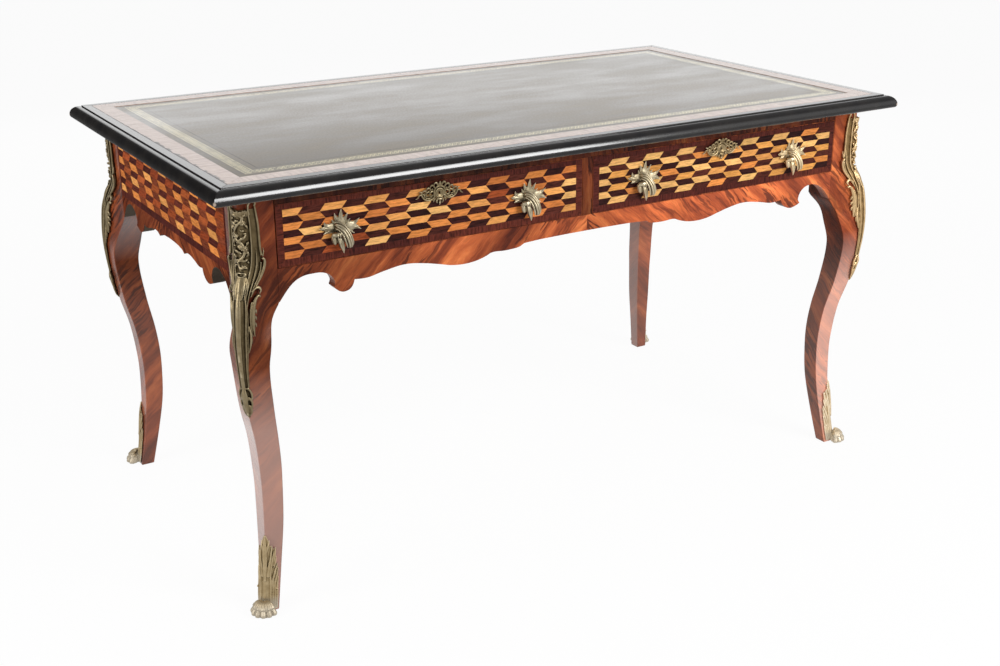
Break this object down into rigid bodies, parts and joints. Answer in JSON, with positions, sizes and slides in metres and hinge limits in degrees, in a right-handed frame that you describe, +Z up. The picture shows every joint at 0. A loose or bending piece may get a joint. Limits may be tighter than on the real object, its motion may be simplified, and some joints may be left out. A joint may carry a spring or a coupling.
{
  "type": "writing table",
  "caption": "Flat writing table on cabriole legs with a leather-lined top, ebonised moulding, parquetry frieze drawers that slide, lock bolts that rise and cast brass mounts.",
  "frame": {"origin": "on the floor under the middle of the table top", "axes": "+X along the length to the right as seen from the front, -Y out of the drawer front, +Z up"},
  "size_m": [1.444, 0.806, 0.77],
  "materials": {
    "kingwood": "french polished veneer",
    "parquetry": "french polished zigzag parquetry with rosewood crossbanding",
    "rosewood_band": "polished crossbanding",
    "ebonised_wood": "ebonised and polished",
    "oak": "planed and unpolished",
    "tooled_leather": "worn and gilt tooled",
    "aged_brass": "cast, chased and tarnished",
    "lock_steel": "dull filed iron"
  },
  "bodies": {
    "table": {"back_frieze_panel": "parquetry", "centre_drawer_kicker": "oak", "centre_drawer_runner": "oak", "corner_mount_back_left": "aged_brass", "corner_mount_back_right": "aged_brass", "corner_mount_front_left": "aged_brass", "corner_mount_front_right": "aged_brass", "crossband_back": "rosewood_band", "crossband_front": "rosewood_band", "crossband_left": "rosewood_band", "crossband_right": "rosewood_band", "drawer_divider": "kingwood", "front_apron_rail": "kingwood", "front_top_rail": "kingwood", "left_drawer_kicker": "oak", "left_drawer_runner": "oak", "left_drawer_stop": "oak", "left_frieze_panel": "parquetry", "leg_back_left": "kingwood", "leg_back_right": "kingwood", "leg_front_left": "kingwood", "leg_front_right": "kingwood", "moulding_back": "ebonised_wood", "moulding_front": "ebonised_wood", "moulding_left": "ebonised_wood", "moulding_right": "ebonised_wood", "right_drawer_kicker": "oak", "right_drawer_runner": "oak", "right_drawer_stop": "oak", "right_frieze_panel": "parquetry", "sabot_back_left": "aged_brass", "sabot_back_right": "aged_brass", "sabot_front_left": "aged_brass", "sabot_front_right": "aged_brass", "top_board": "oak", "writing_leather": "tooled_leather"},
    "left_drawer": {"left_drawer_front": "parquetry", "left_drawer_left_side": "oak", "left_drawer_right_side": "oak", "left_drawer_back": "oak", "left_drawer_bottom": "oak", "left_drawer_left_handle": "aged_brass", "left_drawer_right_handle": "aged_brass", "left_drawer_escutcheon": "aged_brass", "left_lock_case": "lock_steel"},
    "right_drawer": {"right_drawer_front": "parquetry", "right_drawer_left_side": "oak", "right_drawer_right_side": "oak", "right_drawer_back": "oak", "right_drawer_bottom": "oak", "right_drawer_left_handle": "aged_brass", "right_drawer_right_handle": "aged_brass", "right_drawer_escutcheon": "aged_brass", "right_lock_case": "lock_steel"},
    "left_bolt": {"left_lock_bolt": "lock_steel"},
    "right_bolt": {"right_lock_bolt": "lock_steel"}
  },
  "joints": [
    {"name": "left_drawer_slide", "type": "slide", "parent": "table", "child": "left_drawer", "axis": [0, -1, 0], "range_m": [0, 0.38]},
    {"name": "left_lock_bolt_slide", "type": "slide", "parent": "left_drawer", "child": "left_bolt", "axis": [0, 0, 1], "range_m": [0, 0.008]},
    {"name": "right_drawer_slide", "type": "slide", "parent": "table", "child": "right_drawer", "axis": [0, -1, 0], "range_m": [0, 0.38]},
    {"name": "right_lock_bolt_slide", "type": "slide", "parent": "right_drawer", "child": "right_bolt", "axis": [0, 0, 1], "range_m": [0, 0.008]}
  ]
}
